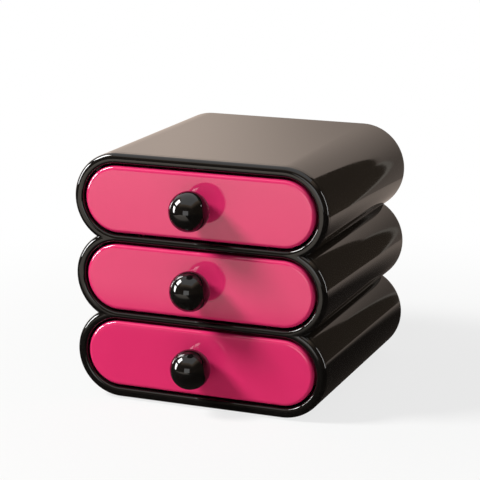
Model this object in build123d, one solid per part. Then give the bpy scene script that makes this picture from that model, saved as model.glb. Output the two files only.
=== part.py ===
from build123d import *
import os
from math import sqrt

# A three-storey drawer box for cosmetics. Millimetres, +Z up, the drawers open towards -Y.
# The origin is on the table, under the middle of the whole outline, knobs included.

# Casing: three storeys with round ends, each running a little into the next
TIERS = ("lower", "middle", "upper")
TIER_PITCH = 66.0  # from one drawer's centre to the next
LOBE_OVERLAP = 11.0  # how far one storey's outline runs into the next
BODY_WIDTH = 222.0
BODY_DEPTH = 214.0  # front of the rim to the back
REAR_ROUNDING = 10.0  # edge of the closed back
SHELL_WALL = 2.6

# Front bezel: the rounded rim and the lips that the drawers pass through
BEZEL_DEPTH = 7.0  # front of the rim to the seam with the shell
BEZEL_SKIN = 3.2  # front of the rim to the hollow behind it
RIM_WIDTH = 8.6  # casing's outline to the edge of a drawer's opening
RIM_OUTER_ROUNDING = 4.2
RIM_INNER_ROUNDING = 3.0
BAR_FLAT = 0.2  # least flat left on the bar between the roundings of two openings
LIP_WALL = 1.8
LIP_DEPTH = 12.0  # front of the rim to the back of the lip
SPIGOT_WALL = 1.8
SPIGOT_LENGTH = 8.0  # seam to the end of the spigot inside the shell
SPIGOT_CLEARANCE = 0.2
SEAM_CHAMFER = 0.3

# Snap catches of the bezel, on the flat top and bottom of the spigot
CATCH_SPACING = 90.0
CATCH_WIDTH = 12.0
CATCH_LENGTH = 3.0
CATCH_HEIGHT = 0.8
CATCH_SETBACK = 2.0  # seam to the catch
CATCH_CLEARANCE = 0.3

# Shelves between the storeys, held at their edges in channels of the shell
SHELF_THICKNESS = 2.0
SHELF_CLEARANCE = 0.2
CHANNEL_RIB = 1.8
CHANNEL_REACH = 4.5  # rib's overlap on the shelf

# Rails under each tray, and the ribs that keep a drawn-out tray from tipping
RAIL_SPACING = 120.0
RAIL_WIDTH = 3.0
RAIL_CLEARANCE = 0.3
HOLD_RIB_WIDTH = 3.0
HOLD_CLEARANCE = 0.4
BACK_STOP_SPACING = 90.0
BACK_STOP_WIDTH = 2.4
BACK_STOP_HEIGHT = 26.0
BACK_STOP_CLEARANCE = 0.4

# Drawer tray
TRAY_WALL = 2.0
TRAY_SIDE_GAP = 7.4  # end of the opening to the tray's side
TRAY_RIM_CLEARANCE = 1.8  # tray's upper edge to the curve of the opening
TRAY_CORNER = 24.0  # along the two lower edges
TRAY_REAR_GAP = 4.0  # tray's back to where the back's rounding begins
TRAY_EDGE_ROUNDING = 0.8
SKID_HEIGHT = 2.0
SKID_WIDTH = 1.6
SKID_CLEARANCE = 0.4  # beside the rail
SILL_CLEARANCE = 0.7  # skid above the lower edge of the opening
PLATE_THICKNESS = 2.2  # tray's front wall, which closes the back of the drawer front
PLATE_MARGIN = 1.0
DRAWER_TRAVEL = 140.0
STOP_WIDTH = 18.0
STOP_LENGTH = 6.0
STOP_CLEARANCE = 0.3  # between stop and lip at full travel
STOP_FLOOR_CLEARANCE = 0.8

# Drawer front, a dished moulding flush with the rim
FRONT_GAP = 1.9  # to the opening all round
FRONT_THICKNESS = 8.0
FRONT_WALL = 2.6
FRONT_ROUNDING = 3.2
FRONT_RIB = 1.4
FRONT_RIB_SPACING = 40.0
BOSS_DIAMETER = 12.0
PEG_SPACING = 120.0
PEG_DIAMETER = 4.0
PEG_CLEARANCE = 0.15

# Ball knob, its threaded insert and the screw that clamps tray, front and knob together
KNOB_DIAMETER = 33.2
KNOB_STANDOFF = 0.4  # ball to the drawer front
KNOB_NECK_DIAMETER = 13.0
INSERT_DIAMETER = 7.0
INSERT_LENGTH = 10.0
INSERT_GROOVE = 0.5
INSERT_CLEARANCE = 0.05
BORE_RELIEF = 1.0  # bore past the end of the insert
SCREW_DIAMETER = 4.0
SCREW_CLEARANCE = 0.2
THREAD_CLEARANCE = 0.05
SCREW_HEAD_DIAMETER = 8.4
SCREW_HEAD_HEIGHT = 2.4
SCREW_TIP_GAP = 1.5  # screw's tip to the end of the insert
CROSS_LENGTH = 4.4
CROSS_WIDTH = 0.9
CROSS_DEPTH = 1.3

# Anti-slip feet in shallow recesses of the floor
FOOT_DIAMETER = 14.0
FOOT_PROUD = 1.5
FOOT_RECESS = 1.0
FOOT_CLEARANCE = 0.2
FOOT_CHAMFER = 0.5
FOOT_SIDE_INSET = 12.0  # from where the floor begins to curve up
FOOT_END_INSET = 24.0  # from the seam and from the back

OVERCUT = 1.0  # how far a cutting tool runs past the face that it breaks

# Heights
LOBE_RADIUS = (TIER_PITCH + LOBE_OVERLAP) / 2
FLAT_HALF_WIDTH = BODY_WIDTH / 2 - LOBE_RADIUS
FLOOR_Z = FOOT_PROUD
TIER_Z = [FLOOR_Z + LOBE_RADIUS + TIER_PITCH * n for n in range(len(TIERS))]
SHELF_Z = [z + TIER_PITCH / 2 for z in TIER_Z[:-1]]
TOP_Z = TIER_Z[-1] + LOBE_RADIUS

# Places from front to back
KNOB_REACH = KNOB_STANDOFF + KNOB_DIAMETER
FRONT_Y = (KNOB_REACH - BODY_DEPTH) / 2
BACK_Y = FRONT_Y + BODY_DEPTH
HOLLOW_Y = FRONT_Y + BEZEL_SKIN
SEAM_Y = FRONT_Y + BEZEL_DEPTH
LIP_BACK_Y = FRONT_Y + LIP_DEPTH
SPIGOT_BACK_Y = SEAM_Y + SPIGOT_LENGTH
SHELF_FRONT_Y = SPIGOT_BACK_Y + SHELF_CLEARANCE
SHELF_BACK_Y = BACK_Y - REAR_ROUNDING
PLATE_Y = FRONT_Y + FRONT_THICKNESS
PLATE_BACK_Y = PLATE_Y + PLATE_THICKNESS
TRAY_BACK_Y = BACK_Y - REAR_ROUNDING - TRAY_REAR_GAP

# Openings, and what passes through them, measured from the drawer's centre
OPENING_RADIUS = LOBE_RADIUS - RIM_WIDTH
BAR_WIDTH = TIER_PITCH - 2 * OPENING_RADIUS
FRONT_INSET = RIM_WIDTH + FRONT_GAP
TRAY_HALF_WIDTH = FLAT_HALF_WIDTH + OPENING_RADIUS - TRAY_SIDE_GAP
TRAY_RISE = sqrt((OPENING_RADIUS - TRAY_RIM_CLEARANCE) ** 2 - (TRAY_HALF_WIDTH - FLAT_HALF_WIDTH) ** 2)
SKID_DROP = OPENING_RADIUS - SILL_CLEARANCE
TRAY_DROP = SKID_DROP - SKID_HEIGHT
RAIL_DROP = TRAY_DROP + RAIL_CLEARANCE
STOP_DROP = TIER_PITCH / 2 - SHELF_THICKNESS / 2 - STOP_FLOOR_CLEARANCE
SPIGOT_INSET = SHELL_WALL + SPIGOT_CLEARANCE
HOLE_DIAMETER = SCREW_DIAMETER + 2 * SCREW_CLEARANCE


def slab(profile, y_start, y_end):
    """A profile in X and Z, as seen from the front, made solid from y_start back to y_end."""
    return extrude(Plane.XZ.offset(-y_start) * profile, y_start - y_end)


def block(x_range, y_range, z_range):
    """A plain block between the given limits."""
    ranges = (x_range, y_range, z_range)
    middle = [sum(limits) / 2 for limits in ranges]
    return Pos(*middle) * Box(*[high - low for low, high in ranges])


def both_sides(solid):
    """The solid and its mirror image in the middle plane."""
    return [solid, mirror(solid, about=Plane.YZ)]


def disc(diameter, x, z):
    return Pos(x, z) * Circle(diameter / 2)


def front_edges(solid):
    return solid.edges().group_by(Axis.Y)[0]


def rear_edges(solid):
    return solid.edges().group_by(Axis.Y)[-1]


def stadium(inset, z=0):
    """One storey's outline, drawn in by an even inset."""
    return Pos(0, z) * SlotOverall(BODY_WIDTH - 2 * inset, 2 * (LOBE_RADIUS - inset))


def lobe_stack(inset, y_start, y_end, shape_ends=None):
    """The three storeys as one solid, drawn in by an inset. shape_ends rounds each storey's ends first."""
    lobes = [slab(stadium(inset, z), y_start, y_end) for z in TIER_Z]
    if shape_ends:
        lobes = [shape_ends(lobe) for lobe in lobes]
    return Part() + lobes


def waist_half_width(inset):
    """Half the width of the drawn-in outline where two storeys meet."""
    return FLAT_HALF_WIDTH + sqrt(max(0, (LOBE_RADIUS - inset) ** 2 - (TIER_PITCH / 2) ** 2))


def catch_wedges(grow):
    """The bezel's snap catches, or with grow the pockets for them, on the floor side and on the top side."""
    y_start = SEAM_Y + CATCH_SETBACK
    wedges = []
    for face_z, outward in ((FLOOR_Z + SPIGOT_INSET, -1), (TOP_Z - SPIGOT_INSET, 1)):
        foot_z = face_z - outward * SPIGOT_WALL / 2
        tip_z = face_z + outward * (CATCH_HEIGHT + grow)
        outline = Polyline(
            (y_start - grow, foot_z),
            (y_start - grow, tip_z),
            (y_start + CATCH_LENGTH + grow, face_z + outward * grow),
            (y_start + CATCH_LENGTH + grow, foot_z),
            close=True,
        )
        for x in (-CATCH_SPACING / 2, CATCH_SPACING / 2):
            ramp = Plane.YZ.offset(x) * make_face(outline)
            wedges.append(extrude(ramp, CATCH_WIDTH / 2 + grow, both=True))
    return wedges


def front_bezel():
    """The rim in one piece: rounded outside and at each opening, hollow behind, with lips and a spigot."""
    inner_rounding = min(RIM_INNER_ROUNDING, (BAR_WIDTH - BAR_FLAT) / 2)

    def rim_ends(lobe):
        lobe = fillet(front_edges(lobe), RIM_OUTER_ROUNDING)
        return chamfer(rear_edges(lobe), SEAM_CHAMFER)

    rim = lobe_stack(0, FRONT_Y, SEAM_Y, rim_ends)
    spigot = lobe_stack(SPIGOT_INSET, HOLLOW_Y, SPIGOT_BACK_Y)
    hollow = lobe_stack(SPIGOT_INSET + SPIGOT_WALL, HOLLOW_Y, SPIGOT_BACK_Y)
    lips = [slab(stadium(RIM_WIDTH - LIP_WALL, z), HOLLOW_Y, LIP_BACK_Y) for z in TIER_Z]
    openings = [slab(stadium(RIM_WIDTH, z), FRONT_Y, LIP_BACK_Y) for z in TIER_Z]
    bezel = rim + spigot - hollow + lips - openings
    face = bezel.faces().filter_by(Axis.Y).sort_by(Axis.Y)[0]
    bezel = fillet([edge for wire in face.inner_wires() for edge in wire.edges()], inner_rounding)
    return bezel + catch_wedges(0)


def channel_ribs():
    """Pairs of ribs along the shell's waists, each a channel for one edge of a shelf and closed behind."""
    ribs = []
    x_range = (waist_half_width(SHELL_WALL) - CHANNEL_REACH, BODY_WIDTH / 2)
    near = SHELF_THICKNESS / 2 + SHELF_CLEARANCE
    far = near + CHANNEL_RIB
    for z in SHELF_Z:
        ribs += both_sides(block(x_range, (SHELF_FRONT_Y, BACK_Y), (z + near, z + far)))
        ribs += both_sides(block(x_range, (SHELF_FRONT_Y, BACK_Y), (z - far, z - near)))
        ribs += both_sides(block(x_range, (SHELF_BACK_Y + SHELF_CLEARANCE, BACK_Y), (z - far, z + far)))
    return ribs


def hold_down_ribs():
    """A rib over each side wall of each tray."""
    middle = TRAY_HALF_WIDTH - TRAY_WALL / 2
    x_range = (middle - HOLD_RIB_WIDTH / 2, middle + HOLD_RIB_WIDTH / 2)
    ribs = []
    for z in TIER_Z:
        z_range = (z + TRAY_RISE + HOLD_CLEARANCE, z + TIER_PITCH / 2)
        ribs += both_sides(block(x_range, (SHELF_FRONT_Y, BACK_Y), z_range))
    return ribs


def rails(floor_z, tier_z):
    """Two rails that stand on floor_z and carry the tray of the storey at tier_z."""
    x_range = ((RAIL_SPACING - RAIL_WIDTH) / 2, (RAIL_SPACING + RAIL_WIDTH) / 2)
    return both_sides(block(x_range, (SHELF_FRONT_Y, TRAY_BACK_Y), (floor_z, tier_z - RAIL_DROP)))


def back_stops():
    """Ribs on the back wall that a closed tray stops against."""
    x_range = ((BACK_STOP_SPACING - BACK_STOP_WIDTH) / 2, (BACK_STOP_SPACING + BACK_STOP_WIDTH) / 2)
    y_range = (TRAY_BACK_Y + BACK_STOP_CLEARANCE, BACK_Y)
    stops = []
    for z in TIER_Z:
        stops += both_sides(block(x_range, y_range, (z - BACK_STOP_HEIGHT / 2, z + BACK_STOP_HEIGHT / 2)))
    return stops


def foot_places():
    x = FLAT_HALF_WIDTH - FOOT_SIDE_INSET
    return [(side * x, y) for side in (-1, 1) for y in (SEAM_Y + FOOT_END_INSET, BACK_Y - FOOT_END_INSET)]


def housing_shell():
    """The casing behind the bezel: a deep three-lobed cup with a rounded back and ribs to guide the trays."""

    def outer_ends(lobe):
        lobe = fillet(rear_edges(lobe), REAR_ROUNDING)
        return chamfer(front_edges(lobe), SEAM_CHAMFER)

    def drawn_in(inset):
        def bevelled_back(lobe):
            return chamfer(rear_edges(lobe), REAR_ROUNDING - inset)

        return lobe_stack(inset, SEAM_Y, BACK_Y - inset, bevelled_back)

    ribs = channel_ribs() + hold_down_ribs() + rails(FLOOR_Z, TIER_Z[0]) + back_stops()
    shell = lobe_stack(0, SEAM_Y, BACK_Y, outer_ends) - drawn_in(SHELL_WALL)
    shell += (Part() + ribs) & drawn_in(SHELL_WALL / 2)
    recess = Cylinder(FOOT_DIAMETER / 2 + FOOT_CLEARANCE, 2 * FOOT_RECESS)
    shell -= [Pos(x, y, FLOOR_Z) * recess for x, y in foot_places()]
    return shell - catch_wedges(CATCH_CLEARANCE)


def shelf(shelf_z, tier_z):
    """A plate with the rails for the tray above it. It ends where the shell's rounded back begins."""
    half_width = waist_half_width(SHELL_WALL) - SHELF_CLEARANCE
    z_range = (shelf_z - SHELF_THICKNESS / 2, shelf_z + SHELF_THICKNESS / 2)
    plate = block((-half_width, half_width), (SHELF_FRONT_Y, SHELF_BACK_Y), z_range)
    return plate + rails(shelf_z, tier_z)


def anti_slip_feet():
    pad = Pos(0, 0, (FLOOR_Z + FOOT_RECESS) / 2) * Cylinder(FOOT_DIAMETER / 2, FLOOR_Z + FOOT_RECESS)
    pad = chamfer(pad.edges().group_by(Axis.Z)[0], FOOT_CHAMFER)
    return Compound(children=[Pos(x, y) * pad for x, y in foot_places()])


def tray_section(inset):
    """The tray seen from the front: upright sides, flat floor and large lower corners, open at the top."""
    half_width = TRAY_HALF_WIDTH - inset
    top = TRAY_RISE + (OVERCUT if inset else 0)
    bottom = inset - TRAY_DROP
    outline = Pos(0, (top + bottom) / 2) * Rectangle(2 * half_width, top - bottom)
    return fillet(outline.vertices().group_by(Axis.Y)[0], TRAY_CORNER - inset)


def tray_stop():
    """A ramped tooth under the tray that catches on the lip of the opening when the drawer is out."""
    y_start = LIP_BACK_Y + DRAWER_TRAVEL + STOP_CLEARANCE
    outline = Polyline(
        (y_start, -TRAY_DROP + TRAY_WALL / 2),
        (y_start, -STOP_DROP),
        (y_start + STOP_LENGTH / 3, -STOP_DROP),
        (y_start + STOP_LENGTH, -TRAY_DROP + TRAY_WALL / 2),
        close=True,
    )
    return extrude(Plane.YZ * make_face(outline), STOP_WIDTH / 2, both=True)


def drawer_tray():
    """Tray with its front plate, two skids that run inside the rails, and the stop."""
    tray = slab(tray_section(0), PLATE_Y, TRAY_BACK_Y)
    tray -= slab(tray_section(TRAY_WALL), PLATE_BACK_Y, TRAY_BACK_Y - TRAY_WALL)
    upper_edges = tray.edges().group_by(Axis.Z)[-1]
    tray = fillet(upper_edges, TRAY_EDGE_ROUNDING)
    tray += slab(stadium(FRONT_INSET + PLATE_MARGIN), PLATE_Y, PLATE_BACK_Y)
    skid_x = (RAIL_SPACING - RAIL_WIDTH) / 2 - SKID_CLEARANCE
    skid_z = (-SKID_DROP, TRAY_WALL / 2 - TRAY_DROP)
    skid = block((skid_x - SKID_WIDTH, skid_x), (PLATE_BACK_Y, TRAY_BACK_Y), skid_z)
    tray += both_sides(skid) + [tray_stop()]
    holes = [disc(PEG_DIAMETER + 2 * PEG_CLEARANCE, x, 0) for x in (-PEG_SPACING / 2, PEG_SPACING / 2)]
    holes.append(disc(HOLE_DIAMETER, 0, 0))
    return tray - [slab(hole, PLATE_Y, PLATE_BACK_Y) for hole in holes]


def drawer_front():
    """The dished front: rounded edge, hollow back with ribs, a boss for the screw and two locating pegs."""
    hollow_y = FRONT_Y + FRONT_WALL
    front = slab(stadium(FRONT_INSET), FRONT_Y, PLATE_Y)
    front = fillet(front_edges(front), FRONT_ROUNDING)
    hollow = slab(stadium(FRONT_INSET + FRONT_WALL), hollow_y, PLATE_Y)
    rib_count = int(FLAT_HALF_WIDTH // FRONT_RIB_SPACING)
    rib_places = [FRONT_RIB_SPACING * n for n in range(-rib_count, rib_count + 1) if n]
    rib_height = 2 * (LOBE_RADIUS - FRONT_INSET)
    ribs = [Pos(x, 0) * Rectangle(FRONT_RIB, rib_height) for x in rib_places]
    ribs.append(Rectangle(BODY_WIDTH - 2 * FRONT_INSET, FRONT_RIB))
    front -= hollow
    front += [slab(rib, hollow_y, PLATE_Y) & hollow for rib in ribs]
    front += slab(disc(BOSS_DIAMETER, 0, 0), hollow_y, PLATE_Y)
    pegs = [disc(PEG_DIAMETER, x, 0) for x in (-PEG_SPACING / 2, PEG_SPACING / 2)]
    front += [slab(peg, hollow_y, PLATE_BACK_Y) for peg in pegs]
    return front - slab(disc(HOLE_DIAMETER, 0, 0), FRONT_Y, PLATE_Y)


def turned(points_and_arcs):
    """A profile in X and Y, turned about the drawer's Y axis."""
    return revolve(make_face(points_and_arcs), Axis.Y)


def knob():
    """A ball on a very short neck, bored from behind for its insert."""
    radius = KNOB_DIAMETER / 2
    neck = KNOB_NECK_DIAMETER / 2
    bore = INSERT_DIAMETER / 2 + INSERT_CLEARANCE
    centre_y = FRONT_Y - KNOB_STANDOFF - radius
    bore_y = FRONT_Y - INSERT_LENGTH - BORE_RELIEF
    neck_y = centre_y + sqrt(radius**2 - neck**2)
    ball = ThreePointArc((neck, neck_y), (radius, centre_y), (0, centre_y - radius))
    sides = Polyline(
        (0, centre_y - radius),
        (0, bore_y),
        (bore, bore_y),
        (bore, FRONT_Y),
        (neck, FRONT_Y),
        (neck, neck_y),
    )
    return turned(Curve() + [ball, sides])


def knob_insert():
    """A threaded bush with one groove round it, which the knob is moulded over."""
    outer = INSERT_DIAMETER / 2
    inner = SCREW_DIAMETER / 2 + THREAD_CLEARANCE
    third = INSERT_LENGTH / 3
    return turned(
        Polyline(
            (inner, FRONT_Y),
            (outer, FRONT_Y),
            (outer, FRONT_Y - third),
            (outer - INSERT_GROOVE, FRONT_Y - third),
            (outer - INSERT_GROOVE, FRONT_Y - 2 * third),
            (outer, FRONT_Y - 2 * third),
            (outer, FRONT_Y - INSERT_LENGTH),
            (inner, FRONT_Y - INSERT_LENGTH),
            close=True,
        )
    )


def knob_screw():
    """A domed cross-head screw from inside the tray into the knob's insert."""
    shank = SCREW_DIAMETER / 2
    head = SCREW_HEAD_DIAMETER / 2
    tip_y = FRONT_Y - INSERT_LENGTH + SCREW_TIP_GAP
    crown_y = PLATE_BACK_Y + SCREW_HEAD_HEIGHT
    dome = TangentArc((0, crown_y), (head, PLATE_BACK_Y), tangent=(1, 0))
    sides = Polyline((0, crown_y), (0, tip_y), (shank, tip_y), (shank, PLATE_BACK_Y), (head, PLATE_BACK_Y))
    screw = turned(Curve() + [dome, sides])
    y_range = (crown_y - CROSS_DEPTH, crown_y)
    long_way = (-CROSS_LENGTH / 2, CROSS_LENGTH / 2)
    short_way = (-CROSS_WIDTH / 2, CROSS_WIDTH / 2)
    return screw - [block(long_way, y_range, short_way), block(short_way, y_range, long_way)]


def all_pieces():
    """Every separate piece by name, each where it sits with the drawers closed."""
    pieces = {
        "housing_shell": housing_shell(),
        "front_bezel": front_bezel(),
        "lower_shelf": shelf(SHELF_Z[0], TIER_Z[1]),
        "upper_shelf": shelf(SHELF_Z[1], TIER_Z[2]),
        "anti_slip_feet": anti_slip_feet(),
    }
    drawer_pieces = {
        "drawer_tray": drawer_tray(),
        "drawer_front": drawer_front(),
        "knob": knob(),
        "knob_insert": knob_insert(),
        "knob_screw": knob_screw(),
    }
    for tier, z in zip(TIERS, TIER_Z):
        for name, solid in drawer_pieces.items():
            pieces[f"{tier}_{name}"] = Pos(0, 0, z) * solid
    return pieces


os.makedirs("parts", exist_ok=True)
for piece_name, piece in all_pieces().items():
    export_step(piece, f"parts/{piece_name}.step")
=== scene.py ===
import math
from contextlib import contextmanager

import bmesh
import bpy
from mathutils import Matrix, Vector


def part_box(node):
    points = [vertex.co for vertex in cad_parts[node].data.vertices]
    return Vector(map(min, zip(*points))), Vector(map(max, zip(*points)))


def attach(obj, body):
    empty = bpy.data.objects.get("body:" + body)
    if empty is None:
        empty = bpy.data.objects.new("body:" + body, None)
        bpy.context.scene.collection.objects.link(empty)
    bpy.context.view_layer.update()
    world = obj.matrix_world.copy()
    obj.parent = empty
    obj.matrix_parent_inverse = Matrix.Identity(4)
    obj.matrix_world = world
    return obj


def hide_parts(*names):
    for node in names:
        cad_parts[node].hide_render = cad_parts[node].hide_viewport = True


# The looks of a makeup organizer with three drawers. Metres, +Z up, the drawers open towards -Y.
# Every moulding is drawn at the lower storey and copied to the others.

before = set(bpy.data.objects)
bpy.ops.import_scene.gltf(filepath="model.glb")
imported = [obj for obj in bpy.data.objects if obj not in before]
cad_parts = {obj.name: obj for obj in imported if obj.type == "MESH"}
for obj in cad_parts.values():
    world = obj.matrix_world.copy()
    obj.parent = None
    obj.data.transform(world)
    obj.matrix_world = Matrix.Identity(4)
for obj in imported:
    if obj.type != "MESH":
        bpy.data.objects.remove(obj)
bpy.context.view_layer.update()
MM = 0.001
TIERS = ("lower", "middle", "upper")

# Sizes and places that the frame gives
SHELL_LOW, SHELL_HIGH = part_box("housing_shell")
RIM_LOW, RIM_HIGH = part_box("front_bezel")
FRONT_LOW, FRONT_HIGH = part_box("lower_drawer_front")
TRAY_LOW, TRAY_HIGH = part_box("lower_drawer_tray")
KNOB_LOW, KNOB_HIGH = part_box("lower_knob")
SCREW_LOW, SCREW_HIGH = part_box("lower_knob_screw")
FEET_LOW, FEET_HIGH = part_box("anti_slip_feet")
TIER_Z = [sum(corner.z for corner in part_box(f"{tier}_knob")) / 2 for tier in TIERS]
TIER_PITCH = TIER_Z[1] - TIER_Z[0]
END_Z = TIER_Z[0]
LOBE_RADIUS = END_Z - SHELL_LOW.z
FLAT_HALF_WIDTH = SHELL_HIGH.x - LOBE_RADIUS
FRONT_Y = RIM_LOW.y
SEAM_Y = SHELL_LOW.y
BACK_Y = SHELL_HIGH.y
PLATE_Y = TRAY_LOW.y
PLATE_BACK_Y = FRONT_HIGH.y
FRONT_RADIUS = (FRONT_HIGH.z - FRONT_LOW.z) / 2
PLATE_RADIUS = TRAY_HIGH.z - END_Z

# Casing and rim
SHELL_WALL = 2.6 * MM
REAR_ROUNDING = 10.0 * MM
SEAM_CHAMFER = 0.3 * MM
RIM_WIDTH = 8.6 * MM
RIM_SKIN = 3.2 * MM
RIM_OUTER_ROUNDING = 4.2 * MM
RIM_INNER_ROUNDING = 3.0 * MM
LIP_WALL = 1.8 * MM
LIP_DEPTH = 12.0 * MM
SPIGOT_CLEARANCE = 0.2 * MM
SPIGOT_WALL = 1.8 * MM
BACK_FLAT_RADIUS = 20.0 * MM  # where the turned edge of the back ends and its flat is filled in
OPENING_RADIUS = LOBE_RADIUS - RIM_WIDTH
SPIGOT_RADIUS = LOBE_RADIUS - SHELL_WALL - SPIGOT_CLEARANCE

# Ribs inside the casing
SHELF_LOW, SHELF_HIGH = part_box("lower_shelf")
SHELF_THICKNESS = 2.0 * MM
SHELF_CLEARANCE = 0.2 * MM
CHANNEL_RIB = 1.8 * MM
CHANNEL_REACH = 4.5 * MM
RAIL_PLACE = 60.0 * MM
RAIL_WIDTH = 3.0 * MM
RAIL_DROP = 27.5 * MM
HOLD_RIB_WIDTH = 3.0 * MM
HOLD_CLEARANCE = 0.4 * MM
BACK_STOP_PLACE = 45.0 * MM
BACK_STOP_WIDTH = 2.4 * MM
BACK_STOP_HEIGHT = 26.0 * MM
BACK_STOP_CLEARANCE = 0.4 * MM

# Drawer front
FRONT_WALL = 2.6 * MM
FRONT_ROUNDING = 3.2 * MM
FRONT_FLAT_RADIUS = 18.0 * MM
FRONT_RIB = 1.4 * MM
FRONT_RIB_PLACES = (-40.0 * MM, 40.0 * MM)
BOSS_RADIUS = 6.0 * MM
PEG_RADIUS = 2.0 * MM
PEG_HOLE_RADIUS = 2.15 * MM
PEG_PLACES = (-60.0 * MM, 60.0 * MM)

# Drawer tray
TRAY_WALL = 2.0 * MM
TRAY_SIDE_GAP = 7.4 * MM
TRAY_RIM_CLEARANCE = 1.8 * MM
TRAY_CORNER = 24.0 * MM
TRAY_EDGE_ROUNDING = 0.8 * MM
TRAY_REAR_ROUNDING = 1.2 * MM
TRAY_FLOOR_DROP = 27.2 * MM
SKID_PLACE = 57.3 * MM
SKID_WIDTH = 1.6 * MM
SKID_DROP = 29.2 * MM
STOP_WIDTH = 18.0 * MM
STOP_LENGTH = 6.0 * MM
STOP_RAMP = 4.0 * MM  # how far the tooth slopes at its back
STOP_SETBACK = 140.3 * MM  # back of the lip to the stop
STOP_DROP = END_Z - TRAY_LOW.z
TRAY_HALF_WIDTH = FLAT_HALF_WIDTH + OPENING_RADIUS - TRAY_SIDE_GAP
TRAY_RISE = math.sqrt((OPENING_RADIUS - TRAY_RIM_CLEARANCE) ** 2 - (TRAY_HALF_WIDTH - FLAT_HALF_WIDTH) ** 2)

# Knob, screw and pads
KNOB_RADIUS = KNOB_HIGH.x
KNOB_NECK_RADIUS = 6.5 * MM
KNOB_BORE_RADIUS = 3.55 * MM
KNOB_BORE_DEPTH = 11.0 * MM
SCREW_HEAD_RADIUS = SCREW_HIGH.x
SCREW_SHANK_RADIUS = 2.0 * MM
SCREW_HOLE_RADIUS = 2.2 * MM
CROSS_LENGTH = 4.4 * MM
CROSS_WIDTH = 0.9 * MM
CROSS_DEPTH = 1.3 * MM
SCREW_CROWN = 1.9 * MM
PAD_RADIUS = 7.0 * MM
PAD_RECESS = 1.0 * MM
PAD_CLEARANCE = 0.2 * MM
PAD_ROUNDING = 0.5 * MM
PAD_GROOVE = 0.4 * MM
PAD_RINGS = (5.2 * MM, 4.4 * MM)

# Fineness of the meshes
END_STEPS = 64  # faces round half a storey
LARGE_ROUNDING_STEPS = 16  # faces across a rounded edge
ROUNDING_STEPS = 8
SMALL_ROUNDING_STEPS = 4
KNOB_STEPS = 96  # faces round the ball
PAD_STEPS = 48
ROD_STEPS = 32
FLAT_ANGLE = math.radians(1)  # faces that meet at less are one face
SMOOTH_ANGLE = math.radians(32)
TOUCH = 0.01 * MM  # nearer than this is the same place
DECIMALS = 6  # of a metre, to tell one depth from another
HAIR = 0.0001 * MM  # a point nearer than this to a cut lies on it
OVERLAP = 1.0 * MM  # how far one shape runs into another that it is joined to or cut from

# Finishes
PLASTIC_IOR = 1.54
COAT_ROUGHNESS = 0.09
CLOUD_DETAIL = 3  # how fine a soft cloud or patch gets
FLOW_CLOUD = 45 * MM
WIPED_PATCH = 14 * MM
SHRINK_RIPPLE = 7 * MM
SHRINK_DEPTH = 0.004 * MM
RIPPLE_DETAIL = 1
MOULD_GRAIN = (0.7 * MM, 0.012 * MM)  # size and depth
RUBBER_GRAIN = (0.5 * MM, 0.03 * MM)
GRAIN_DETAIL = 2
LATHE_RING = 0.38 * MM
LATHE_DEPTH = 0.02 * MM
LATHE_WANDER = 0.5  # how far a ring strays from round
METAL_STAIN = 3 * MM
PAPER_FIBRE = 4 * MM
NOISE_RANGE = (0.3, 0.7)  # where nearly all of a noise lies
HAZE_SPREAD = 0.3  # how far a roughness strays, as a share of it
GRAIN_SPREAD = 0.1
STAIN_SPREAD = 0.2
BEYOND = 1.0  # further out than any piece
WAVES_PER_METRE = 10 / math.pi  # of a Wave node at a scale of 1
MIX_A, MIX_B, MIX_RESULT = 6, 7, 2  # a Mix node's colour sockets

# Camera
CAMERA_AZIMUTH = math.radians(21.75)
CAMERA_ELEVATION = math.radians(14.56)
CAMERA_TARGET = Vector((0, 0.0171, 0.106))
CAMERA_DISTANCE = 1.565
CAMERA_LENS = 135.3  # millimetres
CAMERA_SENSOR = 36  # millimetres across
CAMERA_SHIFT = (-0.0138, 0.0322)

# Floor and light. The white surround and one lamp light the box. The other lamps only show in its gloss.
WHITE = "#FFFFFF"
PAPER = "#D8D8D6"
PAPER_SHADE = "#CFCFCD"
FLOOR_SIZE = 12
SHADOW_REACH = (0.2, 0.6)  # how far out the floor begins to turn plain white, and where it is white
WHITE_SHARE = 0.78  # how white the floor looks near the box
FILL_LIGHT = 0.24  # how strongly the white surround lights the box
WATTS_PER_AREA = 4  # of a lamp that looks plain white
KEY_LAMP = dict(direction=(-0.64, -0.43, 0.72), distance=3.6, sizes=(0.9, 0.9), radiance=56)
LEFT_SOFTBOX = dict(distance=1.7, sizes=(0.56, 0.66), radiance=21)
GLOSS_LAMPS = {
    "upper_left_softbox": dict(direction=(-0.74, -0.29, 0.67), **LEFT_SOFTBOX),
    "lower_left_softbox": dict(direction=(-0.92, -0.34, 0.17), **LEFT_SOFTBOX),
    "front_softbox": dict(direction=(0.08, -0.99, 0.065), distance=1.35, sizes=(0.65, 0.65), radiance=1.3),
    "right_strip": dict(direction=(0.92, 0.31, 0.24), distance=1.2, sizes=(0.24, 0.8), radiance=5),
}

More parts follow.
